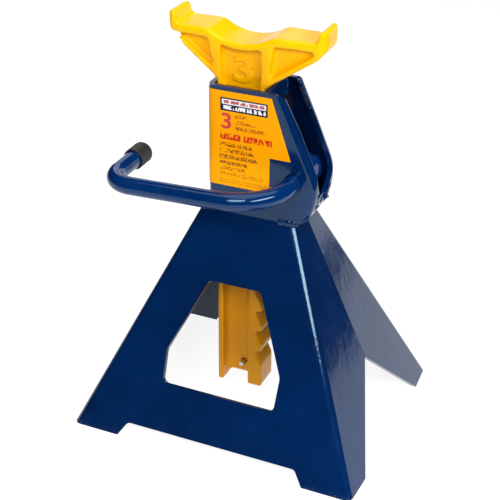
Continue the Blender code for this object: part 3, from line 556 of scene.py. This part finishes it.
def edit(*steps):
    """Run edit mode steps on the whole active mesh."""
    bpy.ops.object.mode_set(mode="EDIT")
    bpy.ops.mesh.select_all(action="SELECT")
    for step, settings in steps:
        step(**settings)
    bpy.ops.object.mode_set(mode="OBJECT")


def node_copy(node, name):
    """The CAD piece's mesh as a new piece, welded from its loose triangles."""
    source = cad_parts[node]
    piece = bpy.data.objects.new(name, source.data.copy())
    bpy.context.scene.collection.objects.link(piece)
    piece.data.materials.clear()
    pick(piece)
    weld = (bpy.ops.mesh.remove_doubles, {"threshold": 0.01 * MM})
    flat = (bpy.ops.mesh.dissolve_limited, {"angle_limit": math.radians(0.6)})
    if piece.data.has_custom_normals:
        bpy.ops.mesh.customdata_custom_splitnormals_clear()
    edit(weld, flat)
    return piece


def finish_with(piece, kind, name, **settings):
    """Add one modifier with its settings and apply it."""
    pick(piece)
    step = piece.modifiers.new(name, kind)
    for key, value in settings.items():
        setattr(step, key, value)
    bpy.ops.object.modifier_apply(modifier=step.name)


def smooth(piece, angle=32.0):
    """Shade rounds smooth and keep broad flats flat."""
    pick(piece)
    bpy.ops.object.shade_smooth_by_angle(angle=math.radians(angle))
    finish_with(piece, "WEIGHTED_NORMAL", "flats", keep_sharp=True, weight=80)


def soften(piece, width, segments=2, angle=28.0):
    """Round the piece's sharp edges."""
    finish_with(
        piece,
        "BEVEL",
        "soft_edges",
        width=width,
        segments=segments,
        limit_method="ANGLE",
        angle_limit=math.radians(angle),
        use_clamp_overlap=True,
        miter_outer="MITER_ARC",
    )


def place_in_mesh(piece):
    """Move the piece's place into its mesh and leave its object at the origin."""
    pick(piece)
    bpy.ops.object.transform_apply(location=True, rotation=True, scale=True)


def settle(piece, material, body, replaces=None):
    """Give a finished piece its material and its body."""
    piece.data.materials.clear()
    piece.data.materials.append(material)
    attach(piece, body)
    if replaces:
        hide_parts(replaces)


def blob(place, size, turn=(0.0, 0.0, 0.0)):
    """One small rounded drop of weld metal."""
    clear_selection()
    bpy.ops.mesh.primitive_ico_sphere_add(
        subdivisions=2, radius=1.0, location=place, rotation=turn, scale=size
    )
    drop = bpy.context.object
    place_in_mesh(drop)
    return drop


def fused(drops, name, grain, rounds):
    """Drops joined into one skin."""
    pick(*drops)
    bpy.ops.object.join()
    bead = bpy.context.object
    bead.name = name
    bead.data.name = name
    finish_with(bead, "REMESH", "fuse", mode="VOXEL", voxel_size=grain, use_smooth_shade=True)
    finish_with(bead, "SMOOTH", "melt", factor=0.5, iterations=rounds)
    return bead


def weld_bead(name, start, end, width, height, pitch=1.5 * MM):
    """A weld of overlapping drops between two points, slightly uneven."""
    start, end = Vector(start), Vector(end)
    run = end - start
    count = max(3, round(run.length / pitch))
    steep = abs(run.normalized().z) >= 0.9
    up = Vector((1.0, 0.0, 0.0)) if steep else Vector((0.0, 0.0, 1.0))
    turn = run.to_track_quat("X", "Y" if steep else "Z").to_euler()
    drops = []
    for k in range(count + 1):
        sway = 0.16 * math.sin(2.3 * k) + 0.1 * math.sin(5.1 * k + 1.0)
        size = (pitch * 1.2, width / 2.0 * (1.0 + sway), height * (1.0 + sway * 0.6))
        place = start + run * (k / count) + up * (0.12 * height * math.sin(3.7 * k))
        drops.append(blob(place, size, turn))
    return fused(drops, name, 0.5 * MM, 2)


def numeral(name, digit, height, depth, edge, thicken):
    """A raised digit lying in its own XY plane, centred, with its back at Z = 0.

    The font's digits stand about 0.7 of its size; the last step makes the height exact.
    """
    clear_selection()
    bpy.ops.object.text_add()
    text = bpy.context.object
    text.name = name
    text.data.body = digit
    text.data.align_x = "CENTER"
    text.data.size = height / 0.7
    text.data.extrude = max(depth / 2.0 - edge, 0.01 * MM)
    text.data.bevel_depth = edge
    text.data.bevel_resolution = 3 if edge > 0.1 * MM else 0
    text.data.offset = thicken
    bpy.ops.object.convert(target="MESH")
    piece = bpy.context.object
    edit((bpy.ops.mesh.remove_doubles, {"threshold": 0.002 * MM}))
    low = Vector(min(v.co[k] for v in piece.data.vertices) for k in range(3))
    high = Vector(max(v.co[k] for v in piece.data.vertices) for k in range(3))
    middle = (low + high) / 2.0
    piece.data.transform(Matrix.Translation((-middle.x, -middle.y, -low.z)))
    piece.data.transform(Matrix.Diagonal((1.0, height / (high.y - low.y), 1.0, 1.0)))
    return piece


# Operators


class FoldedFrame(bpy.types.Operator):
    """Make the two folded sheet halves with rounded, painted edges"""

    bl_idname = "jack_stand.folded_frame"
    bl_label = "Folded Frame"

    def execute(self, context):
        scene = context.scene
        for side, sign in (("front", -1.0), ("rear", 1.0)):
            half = node_copy(f"{side}_frame_half", f"{side}_folded_half")
            soften(half, scene.stand_shape.sheet_edge)
            smooth(half, 30.0)
            paint = gloss_paint(f"gloss_blue_{side}", scene.stand_paint, side=sign)
            settle(half, paint, "frame", f"{side}_frame_half")
        return {"FINISHED"}


class CastColumn(bpy.types.Operator):
    """Make the cast column with its saddle, soft edges and raised numerals"""

    bl_idname = "jack_stand.cast_column"
    bl_label = "Cast Column"

    def execute(self, context):
        scene = context.scene
        shape = scene.stand_shape
        paint = cast_paint("cast_yellow_enamel", scene.stand_paint)
        column = node_copy("ratchet_column", "column_casting")
        grain = shape.casting_grain
        finish_with(column, "REMESH", "skin", mode="VOXEL", voxel_size=grain, use_smooth_shade=True)
        finish_with(column, "SMOOTH", "rounds", factor=0.5, iterations=shape.casting_rounds)
        saddle = column.vertex_groups.new(name="saddle")
        head = [v.index for v in column.data.vertices if v.co.z > SADDLE_FOOT]
        saddle.add(head, 1.0, "REPLACE")
        melt = shape.saddle_rounds
        finish_with(column, "SMOOTH", "melt", factor=0.5, iterations=melt, vertex_group="saddle")
        settle(column, paint, "column", "ratchet_column")
        upright = Matrix.Rotation(math.radians(90.0), 4, "X")
        face = Matrix.Translation((0.0, -SADDLE_NUMERAL_DEPTH, 0.0))
        middle = Matrix.Translation(SADDLE_NUMERAL)
        tall = shape.numeral_height
        for side, turn in (("front", 0.0), ("rear", math.pi)):
            name = f"saddle_numeral_{side}"
            digit = numeral(name, "3", tall, 2.0 * MM, 0.8 * MM, 0.1 * MM)
            digit.data.transform(Matrix.Diagonal((SADDLE_NUMERAL_WIDTH, 1.0, 1.0, 1.0)))
            digit.data.transform(middle @ Matrix.Rotation(turn, 4, "Z") @ face @ upright)
            smooth(digit, 60.0)
            settle(digit, paint, "column")
        return {"FINISHED"}


class LeverRod(bpy.types.Operator):
    """Make the bent lever rod, the pawl and the weld between them"""

    bl_idname = "jack_stand.lever_rod"
    bl_label = "Lever Rod and Pawl"

    def execute(self, context):
        scene = context.scene
        paint = gloss_paint("gloss_blue_lever", scene.stand_paint, lift=1.5)
        rod = node_copy("lever_handle", "bent_lever_rod")
        soften(rod, 0.5 * MM, 2, 40.0)
        smooth(rod, 40.0)
        settle(rod, paint, "lever", "lever_handle")
        pawl = node_copy("pawl", "soft_edged_pawl")
        soften(pawl, 0.7 * MM, 3, 30.0)
        smooth(pawl, 30.0)
        settle(pawl, paint, "lever", "pawl")
        low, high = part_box("pawl")
        beads = gloss_paint("painted_weld_lever", scene.stand_paint, True)
        count = 20
        for side, y in (("front", low.y), ("rear", high.y)):
            drops = []
            for k in range(count):
                angle = 2.0 * math.pi * k / count
                reach = 6.5 * MM * (1.0 + 0.03 * math.sin(5.0 * angle))
                across = PIVOT_X + reach * math.cos(angle)
                height = PIVOT_Z + reach * math.sin(angle)
                drops.append(blob((across, y, height), (1.6 * MM, 1.5 * MM, 1.6 * MM)))
            ring = fused(drops, f"pawl_weld_{side}", 0.45 * MM, 2)
            settle(ring, beads, "lever")
        return {"FINISHED"}


class RubberCap(bpy.types.Operator):
    """Make the rubber cap with its soft edges"""

    bl_idname = "jack_stand.rubber_cap"
    bl_label = "Rubber Cap"

    def execute(self, context):
        cap = node_copy("grip_cap", "moulded_grip_cap")
        soften(cap, 0.45 * MM, 3, 35.0)
        smooth(cap, 40.0)
        rubber = moulded_rubber("black_moulded_rubber", context.scene.stand_paint)
        settle(cap, rubber, "lever", "grip_cap")
        return {"FINISHED"}


class Fastenings(bpy.types.Operator):
    """Make the washer, the split pin and the stop pin"""

    bl_idname = "jack_stand.fastenings"
    bl_label = "Washer and Pins"

    def execute(self, context):
        zinc = zinc_plate("zinc_plated_steel")
        for node, name, body, edge in (
            ("pivot_washer", "plated_washer", "lever", 0.3 * MM),
            ("split_pin", "split_pin_wire", "lever", 0.1 * MM),
            ("column_stop_pin", "column_cross_pin", "column", 0.3 * MM),
        ):
            piece = node_copy(node, name)
            soften(piece, edge, 2, 40.0)
            smooth(piece, 40.0)
            settle(piece, zinc, body, node)
        return {"FINISHED"}


class GuidePlates(bpy.types.Operator):
    """Make the guide plates between the halves and their tack welds"""

    bl_idname = "jack_stand.guide_plates"
    bl_label = "Guide Plates"

    def execute(self, context):
        scene = context.scene
        paint = gloss_paint("gloss_blue_guides", scene.stand_paint)
        beads = gloss_paint("painted_weld_guides", scene.stand_paint, True)
        for level in ("upper", "lower"):
            node = f"{level}_guide_plate"
            plate = node_copy(node, f"{level}_guide")
            soften(plate, 0.5 * MM)
            smooth(plate)
            settle(plate, paint, "frame", node)
            low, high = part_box(node)
            for side, y in (("front", low.y + 0.5 * MM), ("rear", high.y - 0.5 * MM)):
                start = (high.x + 0.3 * MM, y, low.z + 2.0 * MM)
                end = (high.x + 0.3 * MM, y, high.z - 2.0 * MM)
                tack = weld_bead(f"{level}_guide_weld_{side}", start, end, 3.4 * MM, 1.7 * MM)
                settle(tack, beads, "frame")
        return {"FINISHED"}


class FrameWelds(bpy.types.Operator):
    """Make the weld beads and the paint drops on the frame"""

    bl_idname = "jack_stand.frame_welds"
    bl_label = "Frame Welds"

    def execute(self, context):
        beads = gloss_paint("painted_weld_frame", context.scene.stand_paint, True)
        welds = self.seam_welds(context.scene.stand_shape.bead_width)
        welds += [self.slot_weld(), *self.cheek_welds(), self.edge_drops()]
        for weld in welds:
            settle(weld, beads, "frame")
        return {"FINISHED"}

    def seam_welds(self, width):
        """Stitches along the seam on the tower's left side."""
        across = TOWER_LEFT + 0.1 * MM
        stitches = []
        for k, height in enumerate(SEAM_WELD_HEIGHTS):
            start = (across, 0.0, height - SEAM_WELD_REACH)
            end = (across, 0.0, height + SEAM_WELD_REACH)
            stitches.append(weld_bead(f"tower_seam_weld_{k + 1}", start, end, width, 1.5 * MM))
        return stitches

    def slot_weld(self):
        """Drops up both edges of the slot's foot."""
        drops = []
        steps = 13
        for k in range(steps + 1):
            share = k / steps
            height = (165.6 + 6.0 * share) * MM
            rise = max((height / MM - SLOT_FOOT) / SLOT_RUN, 0.0)
            spread = (0.2 + SLOT_HALF_WIDTH * rise**SLOT_FULLNESS) * MM
            across = (42.6 + 0.9 * share + 0.3 * math.sin(2.1 * k)) * MM
            for side in (-1.0, 1.0):
                size = (1.3 + 0.25 * math.sin(3.0 * k + side)) * MM
                drops.append(blob((across, side * spread, height), (size, size, size * 0.9)))
        return fused(drops, "slot_foot_weld", 0.5 * MM, 2)

    def cheek_welds(self):
        """Beads under the cheeks, at the waist and on the lips, on both sides."""
        beads = []
        for side, y in (("front", -17.4 * MM), ("rear", 17.4 * MM)):
            start, end = (33.6 * MM, y, 156.6 * MM), (42.6 * MM, y, 163.6 * MM)
            beads.append(weld_bead(f"{side}_hem_weld", start, end, 3.0 * MM, 1.5 * MM))
            start, end = (23.6 * MM, y * 1.1, 157.4 * MM), (34.6 * MM, y * 1.08, 157.6 * MM)
            beads.append(weld_bead(f"{side}_waist_weld", start, end, 2.6 * MM, 2.5 * MM))
            start, end = (45.6 * MM, y * 0.66, 176.0 * MM), (43.2 * MM, y * 0.6, 166.4 * MM)
            beads.append(weld_bead(f"{side}_lip_sag", start, end, 2.8 * MM, 4.6 * MM, 2.2 * MM))
        return beads

    def edge_drops(self):
        """Drops of paint down the leaning edge of the rear cheek."""
        spots = []
        for x, y, z, size in EDGE_DROPS:
            spots.append(blob((x * MM, y * MM, z * MM), (size * MM, size * MM, size * MM)))
        return fused(spots, "cheek_edge_drops", 0.35 * MM, 1)


class FrontLabel(bpy.types.Operator):
    """Give the label its printed film and its red numeral"""

    bl_idname = "jack_stand.front_label"
    bl_label = "Front Label"

    def execute(self, context):
        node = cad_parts["front_label"]
        node.data.materials.clear()
        node.data.materials.append(printed_film("printed_label_film", context.scene.stand_paint))
        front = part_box("front_label")[0].y
        digit = numeral("label_numeral", "3", 11.0 * MM, 0.08 * MM, 0.0, 0.3 * MM)
        digit.data.transform(Matrix.Diagonal((LABEL_NUMERAL_WIDTH, 1.0, 1.0, 1.0)))
        upright = Matrix.Rotation(math.radians(90.0), 4, "X")
        place = Matrix.Translation(Vector(LABEL_NUMERAL) + Vector((0.0, front, 0.0)))
        digit.data.transform(place @ upright)
        settle(digit, red_ink("red_print_ink"), "frame")
        return {"FINISHED"}


# Where the floor ends on the right, so that the flanges reflect it low down only
FLOOR_RIGHT = 0.42

# Lights: name, place, target, width and height in metres, power in watts, and shape
LIGHTS = (
    ("overhead_softbox", (0.05, 0.1, 1.45), (0.0, 0.0, 0.05), 1.3, 1.3, 11.0, "RECTANGLE"),
    ("front_fill", (0.25, -1.15, 1.15), (0.0, 0.0, 0.12), 0.7, 0.5, 12.5, "RECTANGLE"),
    ("rear_sheen", (-0.75, 1.35, 0.95), (0.0, 0.0, 0.25), 0.9, 0.5, 2.0, "RECTANGLE"),
    ("right_oval", (0.95, -0.5, 0.72), (0.05, 0.0, 0.15), 0.9, 0.28, 10.5, "ELLIPSE"),
    ("rear_low_panel", (-0.1, 1.15, 0.22), (-0.1, 0.0, 0.22), 1.9, 0.5, 3.9, "RECTANGLE"),
)

CAMERA_TARGET = Vector((-7.9 * MM, 0.0, 119.5 * MM))
CAMERA_ROLL = math.radians(0.51)
CAMERA_LENS = 87.8
CAMERA_SHIFT = 0.0064


class Stage(bpy.types.Operator):
    """Make the floor, the lights and the camera"""

    bl_idname = "jack_stand.stage"
    bl_label = "Floor, Lights and Camera"

    def execute(self, context):
        settings = context.scene.stand_stage
        clear_selection()
        side = settings.floor_size
        middle = (FLOOR_RIGHT - side / 2.0, 0.05, -0.3 * MM)
        bpy.ops.mesh.primitive_plane_add(size=side, location=middle)
        floor = context.object
        floor.name = "pale_floor"
        place_in_mesh(floor)
        floor.data.materials.append(pale_floor("matt_white_floor"))
        for light in LIGHTS:
            soft_light(*light)
        room_light(context.scene)
        self.add_camera(context, settings)
        return {"FINISHED"}

    def add_camera(self, context, settings):
        """A camera that looks down on the stand from the front right."""
        turn, lift = settings.azimuth, settings.elevation
        level = Vector((math.sin(turn), -math.cos(turn), 0.0)) * math.cos(lift)
        back = level + Vector((0.0, 0.0, math.sin(lift)))
        right = Vector((math.cos(turn), math.sin(turn), 0.0))
        up = back.cross(right)
        across = right * math.cos(CAMERA_ROLL) + up * math.sin(CAMERA_ROLL)
        rise = up * math.cos(CAMERA_ROLL) - right * math.sin(CAMERA_ROLL)
        lens = bpy.data.cameras.new("stand_camera")
        lens.lens = CAMERA_LENS
        lens.sensor_width = 36.0
        lens.shift_x = CAMERA_SHIFT
        lens.clip_start = 0.05
        camera = bpy.data.objects.new("stand_camera", lens)
        context.scene.collection.objects.link(camera)
        turned = Matrix((across, rise, back)).transposed().to_4x4()
        place = CAMERA_TARGET + back * settings.distance
        camera.matrix_world = Matrix.Translation(place) @ turned
        context.scene.camera = camera


def soft_light(name, place, target, width, height, power, shape):
    """A softbox that faces a target."""
    light = bpy.data.lights.new(name, "AREA")
    light.shape = shape
    light.size = width
    light.size_y = height
    light.energy = power
    item = bpy.data.objects.new(name, light)
    bpy.context.scene.collection.objects.link(item)
    item.location = place
    item.rotation_euler = (Vector(target) - Vector(place)).to_track_quat("-Z", "Y").to_euler()


def room_light(scene):
    """A white surround to look at, and a dim room that the paint reflects."""
    world = bpy.data.worlds.new("soft_room")
    scene.world = world
    world.use_nodes = True
    nodes, links = world.node_tree.nodes, world.node_tree.links
    dim = nodes["Background"]
    dim.inputs["Color"].default_value = (0.8, 0.88, 1.0, 1.0)
    dim.inputs["Strength"].default_value = 0.025
    white = nodes.new("ShaderNodeBackground")
    white.inputs["Color"].default_value = (1.0, 1.0, 1.0, 1.0)
    path = nodes.new("ShaderNodeLightPath")
    choose = nodes.new("ShaderNodeMixShader")
    links.new(path.outputs["Is Camera Ray"], choose.inputs[0])
    links.new(dim.outputs[0], choose.inputs[1])
    links.new(white.outputs[0], choose.inputs[2])
    links.new(choose.outputs[0], nodes["World Output"].inputs["Surface"])
    scene.view_settings.view_transform = "Standard"


class StandPanel(bpy.types.Panel):
    """Sizes, colours and steps of the jack stand's finish"""

    bl_idname = "VIEW3D_PT_jack_stand"
    bl_label = "Jack Stand"
    bl_space_type = "VIEW_3D"
    bl_region_type = "UI"
    bl_category = "Jack Stand"

    def draw(self, context):
        for key in GROUPS:
            group = getattr(context.scene, key)
            box = self.layout.box()
            for name in group.bl_rna.properties.keys():
                if name not in ("rna_type", "name"):
                    box.prop(group, name)
        for step in STEPS:
            self.layout.operator(step.bl_idname)


STEPS = (
    FoldedFrame,
    CastColumn,
    LeverRod,
    RubberCap,
    Fastenings,
    GuidePlates,
    FrameWelds,
    FrontLabel,
    Stage,
)
GROUPS = {"stand_paint": StandPaint, "stand_shape": StandShape, "stand_stage": StandStage}


def register():
    for name, group in GROUPS.items():
        bpy.utils.register_class(group)
        setattr(bpy.types.Scene, name, bpy.props.PointerProperty(type=group))
    for item in (*STEPS, StandPanel):
        bpy.utils.register_class(item)


def unregister():
    for item in reversed((*STEPS, StandPanel)):
        bpy.utils.unregister_class(item)
    for name, group in GROUPS.items():
        delattr(bpy.types.Scene, name)
        bpy.utils.unregister_class(group)


def main():
    register()
    bpy.ops.jack_stand.folded_frame()
    bpy.ops.jack_stand.cast_column()
    bpy.ops.jack_stand.lever_rod()
    bpy.ops.jack_stand.rubber_cap()
    bpy.ops.jack_stand.fastenings()
    bpy.ops.jack_stand.guide_plates()
    bpy.ops.jack_stand.frame_welds()
    bpy.ops.jack_stand.front_label()
    bpy.ops.jack_stand.stage()
    clear_selection()


if __name__ == "__main__":
    main()
